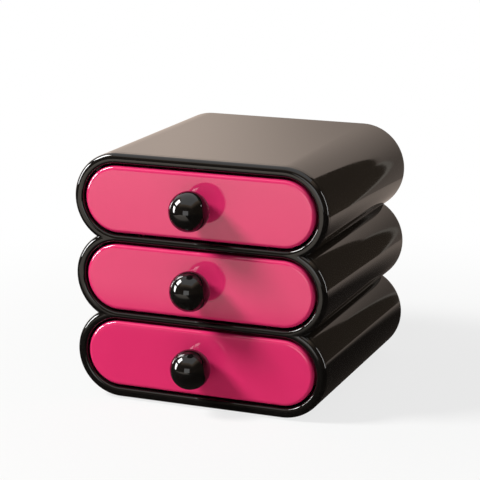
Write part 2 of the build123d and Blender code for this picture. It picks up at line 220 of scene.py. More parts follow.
# Cards that only show in the gloss. A glow is a colour, a level and ramps that raise the level. A ramp is
# an axis, where it starts and ends, and its rise. A card is a glow, a centre, two sizes and a turn.
CARD_GLOWS = {
    "dark_glow": ("#F4D9BE", 0.1, ("Z", 1.2, 2.4, 0.8)),
    "pale_glow": ("#FFEADB", 0.28, ("Z", 0.15, 0.5, 0.48), ("X", -0.08, -0.36, 0.5)),
    "stripe_glow": ("#FFF4E6", 0.45),
    # painted shade: the floor behind the box glows dimly next to it, where the box's shade falls, and
    # brighter further back
    "floor_glow_with_painted_shade": ("#FFEADB", 0.03, ("Y", 0.24, 0.56, 0.45)),
    # painted shade: the pale table in front of the box glows dimly next to it, where the box's shade falls,
    # and brighter further out
    "front_table_glow_with_painted_shade": ("#FFF4E6", 0.05, ("Y", -0.26, -0.44, 0.85), ("Y", -0.45, -1.05, 0.45)),
}
FLAT = (0, 0, 0)  # this and the next three are turns of cards
ACROSS = (math.pi / 2, 0, 0)
ALONG = (0, math.pi / 2, 0)
LEANING = (math.pi / 2, math.radians(-26), 0)
CARDS = {
    "front_card": ("dark_glow", (0, -2.0, 1.25), (4.0, 2.5), ACROSS),
    "right_card": ("dark_glow", (1.6, -0.3, 1.25), (2.5, 3.4), ALONG),
    "left_card": ("dark_glow", (-1.6, -0.8, 1.25), (2.5, 2.4), ALONG),
    "pale_back_card": ("pale_glow", (-0.3, 0.62, 0.45), (1.5, 0.9), ACROSS),
    "dark_back_card": ("dark_glow", (0.76, 0.6, 0.47), (1.0, 1.6), LEANING),
    "dark_foot_card": ("dark_glow", (0.81, 0.598, 0.125), (1.0, 0.25), ACROSS),
    "stripe_card": ("stripe_glow", (0.306, 0.598, 0.125), (0.008, 0.25), ACROSS),
    "floor_card": ("floor_glow_with_painted_shade", (0, -0.4, 0.2 * MM), (3.2, 3.2), FLAT),
    "front_floor_card": ("front_table_glow_with_painted_shade", (-0.27, -0.75, 0.4 * MM), (0.74, 1.1), FLAT),
}


# Modelling

def only(piece):
    """Makes the piece the only one selected."""
    bpy.ops.object.select_all(action="DESELECT")
    piece.select_set(True)
    bpy.context.view_layer.objects.active = piece


@contextmanager
def editing(piece):
    """Edit mode on one piece, with nothing selected at first."""
    only(piece)
    bpy.ops.object.mode_set(mode="EDIT")
    bpy.ops.mesh.select_all(action="DESELECT")
    yield
    bpy.ops.object.mode_set(mode="OBJECT")


def begin(name, add_primitive, sizes=(1, 1, 1), **settings):
    """A new primitive at its size and place, with both in its mesh."""
    bpy.ops.object.select_all(action="DESELECT")
    add_primitive(**settings)
    piece = bpy.context.active_object
    piece.name = name
    piece.data.name = name
    piece.scale = sizes
    bpy.ops.object.transform_apply(location=True, rotation=True, scale=True)
    return piece


def near(one, other):
    """Whether two measures are the same."""
    return abs(one - other) < TOUCH


def about(place, width):
    """The range of that width about a place."""
    return (place - width / 2, place + width / 2)


def pick(piece, kind, test):
    """Selects the vertices, edges or faces that lie wholly where the test is true, and nothing else."""
    bpy.ops.mesh.select_mode(type=kind)
    bpy.ops.mesh.select_all(action="DESELECT")
    mesh = bmesh.from_edit_mesh(piece.data)
    for part in {"VERT": mesh.verts, "EDGE": mesh.edges, "FACE": mesh.faces}[kind]:
        corners = [part] if kind == "VERT" else part.verts
        part.select_set(all(test(corner.co) for corner in corners))
    bmesh.update_edit_mesh(piece.data)


def finish_with(piece, kind, **settings):
    """Adds one modifier and applies it."""
    only(piece)
    modifier = piece.modifiers.new(kind, kind)
    for key, value in settings.items():
        setattr(modifier, key, value)
    bpy.ops.object.modifier_apply(modifier=modifier.name)


def copy_of(piece, name, move):
    """A copy with a mesh of its own, moved within that mesh."""
    only(piece)
    bpy.ops.object.duplicate()
    copy = bpy.context.active_object
    copy.name = name
    copy.data.name = name
    with editing(copy):
        bpy.ops.mesh.select_all(action="SELECT")
        bpy.ops.transform.translate(value=move)
    return copy


def join(pieces):
    """Several pieces as one object, which keeps the first one's name."""
    bpy.ops.object.select_all(action="DESELECT")
    for piece in pieces:
        piece.select_set(True)
    bpy.context.view_layer.objects.active = pieces[0]
    bpy.ops.object.join()
    return pieces[0]


def weld(piece):
    """Closes the seams and turns every face outwards."""
    with editing(piece):
        bpy.ops.mesh.select_all(action="SELECT")
        bpy.ops.mesh.remove_doubles(threshold=TOUCH)
        bpy.ops.mesh.normals_make_consistent(inside=False)


def combine(piece, tools, operation, overlapping=False):
    """Fuses the tools to the piece, cuts them from it or trims it to them. An overlapping piece is one
    whose parts run into each other."""
    settings = dict(operation=operation, solver="EXACT", use_self=overlapping)
    for tool in tools:
        finish_with(piece, "BOOLEAN", object=tool, **settings)
        bpy.data.objects.remove(tool)


def smooth(piece):
    """Smooth shading over the roundings, with the flats kept flat."""
    only(piece)
    bpy.ops.object.shade_smooth_by_angle(angle=SMOOTH_ANGLE)
    finish_with(piece, "WEIGHTED_NORMAL", keep_sharp=True)


def brick(name, x_range, y_range, z_range):
    """A plain block to be fused to a piece or cut from it."""
    ranges = (x_range, y_range, z_range)
    middle = [sum(limits) / 2 for limits in ranges]
    sizes = [limits[1] - limits[0] for limits in ranges]
    return begin(name, bpy.ops.mesh.primitive_cube_add, size=1, location=middle, sizes=sizes)


def rod(name, radius, x, y_range, z):
    """A round bar along Y to be fused to a piece or cut from it."""
    return begin(
        name,
        bpy.ops.mesh.primitive_cylinder_add,
        vertices=ROD_STEPS,
        radius=radius,
        depth=y_range[1] - y_range[0],
        location=(x, sum(y_range) / 2, z),
        rotation=(math.pi / 2, 0, 0),
    )


# Sections of mouldings: drawn flat at the top of a storey's round end, then turned round that end

def section_plate(name, radii, depths):
    """The flat plate that a section starts from."""
    return begin(
        name,
        bpy.ops.mesh.primitive_plane_add,
        size=1,
        location=(FLAT_HALF_WIDTH, sum(depths) / 2, END_Z + sum(radii) / 2),
        rotation=(0, math.pi / 2, 0),
        sizes=(radii[1] - radii[0], depths[1] - depths[0], 1),
    )


def divide(radius=None, depth=None):
    """Cuts the section across at a radius or at a depth."""
    across = (0, 0, 1) if depth is None else (0, 1, 0)
    bpy.ops.mesh.select_all(action="SELECT")
    place = (0, depth or 0, END_Z + (radius or 0))
    bpy.ops.mesh.bisect(plane_co=place, plane_no=across, threshold=HAIR)


def draw_edge(piece, radii, depths, move):
    """Draws out the section's edge that lies between two radii and two depths."""

    def there(co):
        radius = co.z - END_Z
        inside = radii[0] - TOUCH < radius < radii[1] + TOUCH
        return inside and depths[0] - TOUCH < co.y < depths[1] + TOUCH

    pick(piece, "EDGE", there)
    bpy.ops.mesh.extrude_edges_move(TRANSFORM_OT_translate={"value": move})


def one_face():
    """Makes the section one face, without the lines that helped to draw it."""
    bpy.ops.mesh.select_all(action="SELECT")
    bpy.ops.mesh.dissolve_limited(angle_limit=FLAT_ANGLE)


def round_corner(piece, radius, depth, rounding, steps):
    """Rounds the section's corner at that radius and depth, or chamfers it in one step."""
    pick(piece, "VERT", lambda co: near(co.z, END_Z + radius) and near(co.y, depth))
    bpy.ops.mesh.bevel(offset=rounding, segments=steps, affect="VERTICES")


def turn_section(piece, open_radius=None):
    """Turns the section half round the storey's end, draws its ends to the middle and mirrors it.
    A section that ends at open_radius is filled there in front and behind."""
    centre = (FLAT_HALF_WIDTH, 0, END_Z)
    with editing(piece):
        pick(piece, "FACE", lambda co: True)
        bpy.ops.mesh.delete(type="ONLY_FACE")
        if open_radius:
            pick(piece, "EDGE", lambda co: near(co.z, END_Z + open_radius))
            bpy.ops.mesh.delete(type="EDGE")
        bpy.ops.mesh.select_all(action="SELECT")
        bpy.ops.mesh.spin(steps=END_STEPS, angle=math.pi, center=centre, axis=(0, -1, 0))
        pick(piece, "EDGE", lambda co: near(co.x, FLAT_HALF_WIDTH))
        bpy.ops.mesh.extrude_edges_move(TRANSFORM_OT_translate={"value": (-FLAT_HALF_WIDTH, 0, 0)})
    finish_with(piece, "MIRROR", merge_threshold=TOUCH)
    if open_radius:
        fill_flats(piece, open_radius)
    weld(piece)


def fill_flats(piece, radius):
    """Fills the round-ended holes that a turned section leaves."""

    def on_outline(co):
        return near(math.hypot(max(abs(co.x) - FLAT_HALF_WIDTH, 0), co.z - END_Z), radius)

    depths = {round(vertex.co.y, DECIMALS) for vertex in piece.data.vertices if on_outline(vertex.co)}
    with editing(piece):
        for depth in depths:
            pick(piece, "EDGE", lambda co: on_outline(co) and near(co.y, depth))
            bpy.ops.mesh.edge_face_add()


def stack_storeys(piece):
    """Copies the storey to the others, cuts each where it meets the next and welds them."""
    storeys = [piece]
    for n in range(1, len(TIERS)):
        storeys.append(copy_of(piece, f"storey_{n}", (0, 0, n * TIER_PITCH)))
    for n, storey in enumerate(storeys):
        neighbours = [side for side in (1, -1) if 0 <= n + side < len(TIERS)]
        with editing(storey):
            for side in neighbours:
                bpy.ops.mesh.select_all(action="SELECT")
                place = (0, 0, TIER_Z[n] + side * TIER_PITCH / 2)
                bpy.ops.mesh.bisect(plane_co=place, plane_no=(0, 0, side), clear_outer=True, threshold=HAIR)
    join(storeys)
    weld(piece)


# Pieces

def rim_moulding():
    """The rim in one piece: a bead all round, rounded outside and at each opening, with lips and a spigot
    behind."""
    hollow_y = FRONT_Y + RIM_SKIN
    rim = section_plate("rim_moulding", (OPENING_RADIUS, LOBE_RADIUS), (FRONT_Y, hollow_y))
    lip = (OPENING_RADIUS, OPENING_RADIUS + LIP_WALL)
    spigot = (SPIGOT_RADIUS - SPIGOT_WALL, SPIGOT_RADIUS)
    with editing(rim):
        for radius in (lip[1], spigot[0], spigot[1]):
            divide(radius=radius)
        back = (hollow_y, hollow_y)
        draw_edge(rim, lip, back, (0, FRONT_Y + LIP_DEPTH - hollow_y, 0))
        draw_edge(rim, (spigot[0], LOBE_RADIUS), back, (0, SEAM_Y - hollow_y, 0))
        draw_edge(rim, spigot, (SEAM_Y, SEAM_Y), (0, RIM_HIGH.y - SEAM_Y, 0))
        one_face()
        round_corner(rim, LOBE_RADIUS, FRONT_Y, RIM_OUTER_ROUNDING, ROUNDING_STEPS)
        round_corner(rim, OPENING_RADIUS, FRONT_Y, RIM_INNER_ROUNDING, ROUNDING_STEPS)
        round_corner(rim, LOBE_RADIUS, SEAM_Y, SEAM_CHAMFER, 1)
    turn_section(rim)
    stack_storeys(rim)
    smooth(rim)
    return rim


def shell_moulding():
    """The casing behind the rim: three bulging storeys with a closed, rounded back, ribs inside and
    recesses for the pads."""
    inner = LOBE_RADIUS - SHELL_WALL
    shell = section_plate("shell_moulding", (inner, LOBE_RADIUS), (SEAM_Y, BACK_Y))
    with editing(shell):
        divide(depth=BACK_Y - SHELL_WALL)
        draw_edge(shell, (inner, inner), (BACK_Y - SHELL_WALL, BACK_Y), (0, 0, BACK_FLAT_RADIUS - inner))
        one_face()
        round_corner(shell, LOBE_RADIUS, BACK_Y, REAR_ROUNDING, LARGE_ROUNDING_STEPS)
        round_corner(shell, inner, BACK_Y - SHELL_WALL, REAR_ROUNDING - SHELL_WALL, ROUNDING_STEPS)
        round_corner(shell, LOBE_RADIUS, SEAM_Y, SEAM_CHAMFER, 1)
    turn_section(shell, BACK_FLAT_RADIUS)
    stack_storeys(shell)
    combine(shell, [inner_ribs()], "UNION")
    combine(shell, [pad_recesses()], "DIFFERENCE")
    smooth(shell)
    return shell


def wall_core():
    """The casing as a solid out to the middle of its wall, which the ribs inside are trimmed to."""
    radius = LOBE_RADIUS - SHELL_WALL / 2
    end_y = BACK_Y - SHELL_WALL / 2
    core = section_plate("core", (BACK_FLAT_RADIUS, radius), (SEAM_Y, end_y))
    with editing(core):
        round_corner(core, radius, end_y, REAR_ROUNDING - SHELL_WALL / 2, ROUNDING_STEPS)
    turn_section(core, BACK_FLAT_RADIUS)
    stack_storeys(core)
    return core


def pair(x_range, y_range, z_range):
    """A rib and its mirror image on the other side of the box."""
    mirrored = (-x_range[1], -x_range[0])
    return [brick("rib", side, y_range, z_range) for side in (x_range, mirrored)]


def inner_ribs():
    """What guides the drawers: channels for the shelves, ribs over the trays' walls, rails on the floor and
    stops on the back."""
    front_y, back_y = SHELF_LOW.y, SHELF_HIGH.y + SHELF_CLEARANCE
    gap = SHELF_THICKNESS / 2 + SHELF_CLEARANCE
    channel = gap + CHANNEL_RIB
    waist_x = (SHELF_HIGH.x + SHELF_CLEARANCE - CHANNEL_REACH, SHELL_HIGH.x)
    stop_y = (TRAY_HIGH.y + BACK_STOP_CLEARANCE, BACK_Y)
    hold_x = about(TRAY_HALF_WIDTH - TRAY_WALL / 2, HOLD_RIB_WIDTH)
    rail_z = (SHELL_LOW.z, END_Z - RAIL_DROP)
    ribs = pair(about(RAIL_PLACE, RAIL_WIDTH), (front_y, TRAY_HIGH.y), rail_z)
    for centre_z in TIER_Z:
        hold_z = (centre_z + TRAY_RISE + HOLD_CLEARANCE, centre_z + TIER_PITCH / 2)
        ribs += pair(hold_x, (front_y, BACK_Y), hold_z)
        ribs += pair(about(BACK_STOP_PLACE, BACK_STOP_WIDTH), stop_y, about(centre_z, BACK_STOP_HEIGHT))
    for centre_z in TIER_Z[:-1]:
        shelf_z = centre_z + TIER_PITCH / 2
        ribs += pair(waist_x, (front_y, BACK_Y), (shelf_z + gap, shelf_z + channel))
        ribs += pair(waist_x, (front_y, BACK_Y), (shelf_z - channel, shelf_z - gap))
        ribs += pair(waist_x, (back_y, BACK_Y), (shelf_z - gap, shelf_z + gap))
    ribs = join(ribs)
    combine(ribs, [wall_core()], "INTERSECT", overlapping=True)
    return ribs


def pad_places():
    """The middles of the four pads."""
    xs = (FEET_LOW.x + PAD_RADIUS, FEET_HIGH.x - PAD_RADIUS)
    ys = (FEET_LOW.y + PAD_RADIUS, FEET_HIGH.y - PAD_RADIUS)
    return [(x, y) for x in xs for y in ys]


def disc(name, radius, place, z_range):
    """A round slab that lies flat, with its middle over that place on the floor."""
    return begin(
        name,
        bpy.ops.mesh.primitive_cylinder_add,
        vertices=PAD_STEPS,
        radius=radius,
        depth=z_range[1] - z_range[0],
        location=(*place, sum(z_range) / 2),
    )


def pad_recesses():
    """What the recesses for the pads are cut with."""
    z_range = (SHELL_LOW.z - OVERLAP, SHELL_LOW.z + PAD_RECESS)
    return join([disc("recess", PAD_RADIUS + PAD_CLEARANCE, place, z_range) for place in pad_places()])


def rubber_pads():
    """Four pads with a ringed underside and a softened lower edge."""
    pads = []
    for place in pad_places():
        pad = disc("rubber_pads", PAD_RADIUS, place, (FEET_LOW.z, FEET_HIGH.z))
        with editing(pad):
            pick(pad, "FACE", lambda co: near(co.z, FEET_LOW.z))
            bpy.ops.mesh.inset(thickness=PAD_RADIUS - PAD_RINGS[0])
            bpy.ops.mesh.inset(thickness=PAD_RINGS[0] - PAD_RINGS[1])
            inner, outer = PAD_RINGS[1] - TOUCH, PAD_RINGS[0] + TOUCH
            centre = Vector((*place, FEET_LOW.z))
            pick(pad, "FACE", lambda co: near(co.z, FEET_LOW.z) and inner < (co - centre).length < outer)
            bpy.ops.mesh.extrude_region_move(TRANSFORM_OT_translate={"value": (0, 0, PAD_GROOVE)})
            rim = PAD_RADIUS - TOUCH
            pick(pad, "EDGE", lambda co: near(co.z, FEET_LOW.z) and (co - centre).length > rim)
            bpy.ops.mesh.bevel(offset=PAD_ROUNDING, segments=SMALL_ROUNDING_STEPS, affect="EDGES")
        pads.append(pad)
    join(pads)
    smooth(pads[0])
    return pads[0]


def front_moulding():
    """A drawer front: a flat face with a rounded edge, hollow behind, with ribs, a boss and two pegs."""
    inner = FRONT_RADIUS - FRONT_WALL
    hollow_y = FRONT_Y + FRONT_WALL
    front = section_plate("lower_front_moulding", (inner, FRONT_RADIUS), (FRONT_Y, PLATE_Y))
    with editing(front):
        divide(depth=hollow_y)
        draw_edge(front, (inner, inner), (FRONT_Y, hollow_y), (0, 0, FRONT_FLAT_RADIUS - inner))
        one_face()
        round_corner(front, FRONT_RADIUS, FRONT_Y, FRONT_ROUNDING, ROUNDING_STEPS)
    turn_section(front, FRONT_FLAT_RADIUS)
    root_y = FRONT_Y + FRONT_WALL / 2
    reach = FRONT_RADIUS - FRONT_WALL / 2
    rib_y = (root_y, PLATE_Y)
    tools = [brick("rib", about(0, 2 * (FLAT_HALF_WIDTH + reach)), rib_y, about(END_Z, FRONT_RIB))]
    for x in FRONT_RIB_PLACES:
        tools.append(brick("rib", about(x, FRONT_RIB), rib_y, about(END_Z, 2 * reach)))
    tools.append(rod("boss", BOSS_RADIUS, 0, rib_y, END_Z))
    for x in PEG_PLACES:
        tools.append(rod("peg", PEG_RADIUS, x, (root_y, PLATE_BACK_Y), END_Z))
    combine(front, tools, "UNION")
    through = (FRONT_Y - OVERLAP, PLATE_Y + OVERLAP)
    combine(front, [rod("hole", SCREW_HOLE_RADIUS, 0, through, END_Z)], "DIFFERENCE")
    smooth(front)
    return front


def tray_moulding():
    """A drawer tray: a trough with large lower corners, a front plate, two skids and a stop underneath."""
    back_y = TRAY_HIGH.y
    floor_z = END_Z - TRAY_FLOOR_DROP
    top_z = END_Z + TRAY_RISE
    tray = brick("lower_tray_moulding", about(0, 2 * TRAY_HALF_WIDTH), (PLATE_Y, back_y), (floor_z, top_z))
    with editing(tray):
        pick(tray, "FACE", lambda co: near(co.z, top_z))
        bpy.ops.mesh.delete(type="ONLY_FACE")
        for side_x in (TRAY_HALF_WIDTH, -TRAY_HALF_WIDTH):
            pick(tray, "EDGE", lambda co: near(co.z, floor_z) and near(co.x, side_x))
            bpy.ops.mesh.bevel(offset=TRAY_CORNER, segments=LARGE_ROUNDING_STEPS, affect="EDGES")
        pick(tray, "FACE", lambda co: near(co.y, back_y))
        bpy.ops.mesh.region_to_loop()
        bpy.ops.mesh.bevel(offset=TRAY_REAR_ROUNDING, segments=SMALL_ROUNDING_STEPS, affect="EDGES")
    finish_with(tray, "SOLIDIFY", thickness=TRAY_WALL, offset=-1, use_even_offset=True)
    with editing(tray):
        pick(tray, "FACE", lambda co: near(co.z, top_z))
        bpy.ops.mesh.region_to_loop()
        bpy.ops.mesh.bevel(offset=TRAY_EDGE_ROUNDING, segments=SMALL_ROUNDING_STEPS, affect="EDGES")
    weld(tray)
    plate = section_plate("plate", (FRONT_FLAT_RADIUS, PLATE_RADIUS), (PLATE_Y, PLATE_BACK_Y))
    turn_section(plate, FRONT_FLAT_RADIUS)
    skid_z = (END_Z - SKID_DROP, floor_z + TRAY_WALL / 2)
    skids = [
        brick("skid", about(x, SKID_WIDTH), (PLATE_BACK_Y, back_y), skid_z)
        for x in (-SKID_PLACE, SKID_PLACE)
    ]
    combine(tray, [plate, *skids, tray_stop(floor_z)], "UNION")
    through = (PLATE_Y - OVERLAP, PLATE_BACK_Y + OVERLAP)
    holes = [rod("hole", PEG_HOLE_RADIUS, x, through, END_Z) for x in PEG_PLACES]
    combine(tray, [*holes, rod("hole", SCREW_HOLE_RADIUS, 0, through, END_Z)], "DIFFERENCE")
    smooth(tray)
    return tray


def tray_stop(floor_z):
    """The ramped tooth under the tray."""
    start_y = FRONT_Y + LIP_DEPTH + STOP_SETBACK
    end_y = start_y + STOP_LENGTH
    low_z = END_Z - STOP_DROP
    stop = brick("stop", about(0, STOP_WIDTH), (start_y, end_y), (low_z, floor_z + TRAY_WALL / 2))
    with editing(stop):
        pick(stop, "EDGE", lambda co: near(co.y, end_y) and near(co.z, low_z))
        bpy.ops.transform.translate(value=(0, -STOP_RAMP, 0))
    return stop


def ball_knob():
    """A ball on a short neck, bored from behind."""
    centre = Vector((0, KNOB_LOW.y + KNOB_RADIUS, END_Z))
    knob = begin(
        "lower_ball_knob",
        bpy.ops.mesh.primitive_uv_sphere_add,
        segments=KNOB_STEPS,
        ring_count=KNOB_STEPS // 2,
        radius=KNOB_RADIUS,
        location=centre,
        rotation=(math.pi / 2, 0, 0),
    )

    def at_neck(co):
        return co.y > centre.y and math.hypot(co.x, co.z - END_Z) < KNOB_NECK_RADIUS

    with editing(knob):
        pick(knob, "FACE", at_neck)
        bpy.ops.mesh.delete(type="FACE")
        pick(knob, "EDGE", at_neck)
        mesh = bmesh.from_edit_mesh(knob.data)
        ring = [vertex for vertex in mesh.verts if vertex.select]
        ring_y = ring[0].co.y
        ring_radius = math.hypot(ring[0].co.x, ring[0].co.z - END_Z)
        bpy.ops.mesh.extrude_region_move(TRANSFORM_OT_translate={"value": (0, KNOB_HIGH.y - ring_y, 0)})
        bpy.ops.mesh.extrude_region_move()
        share = KNOB_BORE_RADIUS / ring_radius
        bpy.ops.transform.resize(value=(share, 1, share), center_override=(0, KNOB_HIGH.y, END_Z))
        bpy.ops.mesh.extrude_region_move(TRANSFORM_OT_translate={"value": (0, -KNOB_BORE_DEPTH, 0)})
        bpy.ops.mesh.edge_face_add()
    weld(knob)
    smooth(knob)
    return knob


def cross_screw():
    """A domed screw with a cross recess, from inside the tray."""
    head_y = PLATE_BACK_Y
    screw = rod("lower_cross_screw", SCREW_SHANK_RADIUS, 0, (SCREW_LOW.y, head_y), END_Z)
    with editing(screw):
        pick(screw, "FACE", lambda co: near(co.y, head_y))
        bpy.ops.mesh.extrude_region_move()
        share = SCREW_HEAD_RADIUS / SCREW_SHANK_RADIUS
        bpy.ops.transform.resize(value=(share, 1, share), center_override=(0, head_y, END_Z))
        bpy.ops.mesh.extrude_region_move(TRANSFORM_OT_translate={"value": (0, SCREW_HIGH.y - head_y, 0)})
        pick(screw, "EDGE", lambda co: near(co.y, SCREW_HIGH.y))
        bpy.ops.mesh.bevel(offset=SCREW_CROWN, segments=ROUNDING_STEPS, affect="EDGES")
    deep = (SCREW_HIGH.y - CROSS_DEPTH, SCREW_HIGH.y + OVERLAP)
    slots = [
        brick("slot", about(0, CROSS_LENGTH), deep, about(END_Z, CROSS_WIDTH)),
        brick("slot", about(0, CROSS_WIDTH), deep, about(END_Z, CROSS_LENGTH)),
    ]
    combine(screw, slots, "DIFFERENCE")
    smooth(screw)
    return screw


# Materials

def hex_colour(code):
    """An sRGB hex colour as linear red, green, blue and alpha."""
    levels = [int(code[n : n + 2], 16) / 255 for n in (1, 3, 5)]
    linear = [level / 12.92 if level <= 0.04045 else ((level + 0.055) / 1.055) ** 2.4 for level in levels]
    return [*linear, 1.0]


def add_node(tree, kind, inputs=None, **settings):
    """One node with its settings, and with its inputs set to values or linked to sockets."""
    node = tree.nodes.new(kind)
    for key, value in settings.items():
        setattr(node, key, value)
    for key, value in (inputs or {}).items():
        if isinstance(value, bpy.types.NodeSocket):
            tree.links.new(value, node.inputs[key])
        else:
            node.inputs[key].default_value = value
    return node.outputs


def new_material(name):
    """A material with an empty tree, that tree and its object coordinates. A card or floor that glows is
    no lamp, so nothing is sampled as one."""
    material = bpy.data.materials.new(name)
    material.use_nodes = True
    tree = material.node_tree
    tree.nodes.clear()
    material.cycles.emission_sampling = "NONE"
    place = add_node(tree, "ShaderNodeTexCoord")["Object"]
    return material, tree, place


def per_metre(size):
    """A texture's scale for a pattern of that size in metres."""
    return 1 / size


def two_shades(tree, place, cloud, shade, other_shade):
    """A colour that drifts between two shades in soft clouds of that size."""
    drift = add_node(
        tree,
        "ShaderNodeTexNoise",
        {"Vector": place, "Scale": per_metre(cloud), "Detail": CLOUD_DETAIL},
    )
    mixed = add_node(
        tree,
        "ShaderNodeMix",
        {"Factor": drift["Fac"], MIX_A: hex_colour(shade), MIX_B: hex_colour(other_shade)},
        data_type="RGBA",
    )
    return mixed[MIX_RESULT]


def patchy_roughness(tree, place, patch, roughness, spread):
    """A roughness that strays by that share of itself, in soft patches of that size."""
    drift = add_node(
        tree,
        "ShaderNodeTexNoise",
        {"Vector": place, "Scale": per_metre(patch), "Detail": CLOUD_DETAIL},
    )
    strayed = add_node(
        tree,
        "ShaderNodeMapRange",
        {
            "Value": drift["Fac"],
            "From Min": NOISE_RANGE[0],
            "From Max": NOISE_RANGE[1],
            "To Min": roughness * (1 - spread),
            "To Max": roughness * (1 + spread),
        },
    )
    return strayed["Result"]


def polished_abs(name, shade, cloud_shade, roughness, coat):
    """ABS from a polished mould: a mirror-like skin that ripples very slightly where the plastic shrank,
    with faint flow clouds in the colour and a patchy haze where it has been wiped. The coat is the softer
    gloss that a bright pigment lays round the sharp one."""
    material, tree, place = new_material(name)
    ripple = add_node(
        tree,
        "ShaderNodeTexNoise",
        {"Vector": place, "Scale": per_metre(SHRINK_RIPPLE), "Detail": RIPPLE_DETAIL},
    )
    bump = add_node(
        tree,
        "ShaderNodeBump",
        {"Strength": 1, "Distance": SHRINK_DEPTH, "Height": ripple["Fac"]},
    )
    shader = add_node(
        tree,
        "ShaderNodeBsdfPrincipled",
        {
            "Base Color": two_shades(tree, place, FLOW_CLOUD, shade, cloud_shade),
            "Roughness": patchy_roughness(tree, place, WIPED_PATCH, roughness, HAZE_SPREAD),
            "IOR": PLASTIC_IOR,
            "Coat Weight": coat,
            "Coat Roughness": COAT_ROUGHNESS,
            "Normal": bump["Normal"],
        },
    )
    add_node(tree, "ShaderNodeOutputMaterial", {"Surface": shader["BSDF"]})
    return material


def grained_plastic(name, shade, cloud_shade, roughness, grain):
    """Plastic or rubber from a spark-eroded mould: a satin skin with a fine even grain, drawn coarser than
    it is so that it shows, and slow flow clouds in the colour."""
    material, tree, place = new_material(name)
    size, depth = grain
    pits = add_node(
        tree,
        "ShaderNodeTexNoise",
        {"Vector": place, "Scale": per_metre(size), "Detail": GRAIN_DETAIL},
    )
    bump = add_node(tree, "ShaderNodeBump", {"Strength": 1, "Distance": depth, "Height": pits["Fac"]})
    shader = add_node(
        tree,
        "ShaderNodeBsdfPrincipled",
        {
            "Base Color": two_shades(tree, place, FLOW_CLOUD, shade, cloud_shade),
            "Roughness": patchy_roughness(tree, place, size, roughness, GRAIN_SPREAD),
            "IOR": PLASTIC_IOR,
            "Normal": bump["Normal"],
        },
    )
    add_node(tree, "ShaderNodeOutputMaterial", {"Surface": shader["BSDF"]})
    return material


def turned_metal(name, shade, stain_shade, roughness):
    """Metal turned on a lathe: fine rings round the drawer's axis, which stretch the highlights, and faint
    stains. The rings are drawn coarser than they are so that they show."""
    material, tree, place = new_material(name)
    low = (-BEYOND, -BEYOND, END_Z - TIER_PITCH / 2)
    high = (BEYOND, BEYOND, END_Z + TIER_PITCH / 2)
    storey = add_node(tree, "ShaderNodeVectorMath", {0: place, 1: high, 2: low}, operation="WRAP")
    centred = add_node(
        tree,
        "ShaderNodeMapping",
        {"Vector": storey["Vector"], "Location": (0, 0, -END_Z)},
    )
    rings = add_node(
        tree,
        "ShaderNodeTexWave",
        {
            "Vector": centred["Vector"],
            "Scale": per_metre(LATHE_RING) / WAVES_PER_METRE,
            "Distortion": LATHE_WANDER,
        },
        wave_type="RINGS",
        rings_direction="Y",
    )
    bump = add_node(
        tree,
        "ShaderNodeBump",
        {"Strength": 1, "Distance": LATHE_DEPTH, "Height": rings["Fac"]},
    )
    shader = add_node(
        tree,
        "ShaderNodeBsdfPrincipled",
        {
            "Base Color": two_shades(tree, place, METAL_STAIN, shade, stain_shade),
            "Metallic": 1,
            "Roughness": patchy_roughness(tree, place, METAL_STAIN, roughness, STAIN_SPREAD),
            "Normal": bump["Normal"],
        },
    )
    add_node(tree, "ShaderNodeOutputMaterial", {"Surface": shader["BSDF"]})
    return material


def dress(piece, material):
    """Gives a piece that material and no other."""
    piece.data.materials.clear()
    piece.data.materials.append(material)


# Stage

def seen_directly(tree):
    """1 for what the camera, a mirror or glass sees, 0 for the light that falls on the object."""
    path = add_node(tree, "ShaderNodeLightPath")
    seen = add_node(tree, "ShaderNodeMath", {0: path["Is Camera Ray"], 1: path["Is Glossy Ray"]})
    return add_node(tree, "ShaderNodeMath", {0: seen[0], 1: path["Is Transmission Ray"]})[0]


def white_surround():
    """A white world behind everything, which lights the object softly from all round."""
    world = bpy.data.worlds.new("white_surround")
    world.use_nodes = True
    tree = world.node_tree
    tree.nodes.clear()
    strength = add_node(
        tree,
        "ShaderNodeMapRange",
        {"Value": seen_directly(tree), "To Min": FILL_LIGHT, "To Max": 1},
    )
    glow = add_node(
        tree,
        "ShaderNodeBackground",
        {"Color": hex_colour(WHITE), "Strength": strength["Result"]},
    )
    add_node(tree, "ShaderNodeOutputWorld", {"Surface": glow["Background"]})
    world.cycles.sampling_method = "NONE"
    bpy.context.scene.world = world


def paper_floor():
    """Pale paper that keeps the shadow near the box and is plain white further out."""
    material, tree, place = new_material("pale_paper")
    paper = add_node(
        tree,
        "ShaderNodeBsdfDiffuse",
        {"Color": two_shades(tree, place, PAPER_FIBRE, PAPER, PAPER_SHADE)},
    )
    white = add_node(tree, "ShaderNodeEmission", {"Color": hex_colour(WHITE), "Strength": 1})
    distance = add_node(tree, "ShaderNodeVectorMath", {0: place}, operation="LENGTH")
    whiteness = add_node(
        tree,
        "ShaderNodeMapRange",
        {
            "Value": distance["Value"],
            "From Min": SHADOW_REACH[0],
            "From Max": SHADOW_REACH[1],
            "To Min": WHITE_SHARE,
            "To Max": 1,
        },
        interpolation_type="SMOOTHSTEP",
    )
    share = add_node(
        tree,
        "ShaderNodeMath",
        {0: whiteness["Result"], 1: seen_directly(tree)},
        operation="MULTIPLY",
    )
    mixed = add_node(tree, "ShaderNodeMixShader", {0: share[0], 1: paper["BSDF"], 2: white["Emission"]})
    add_node(tree, "ShaderNodeOutputMaterial", {"Surface": mixed["Shader"]})
    floor = begin("floor", bpy.ops.mesh.primitive_plane_add, size=FLOOR_SIZE)
    dress(floor, material)


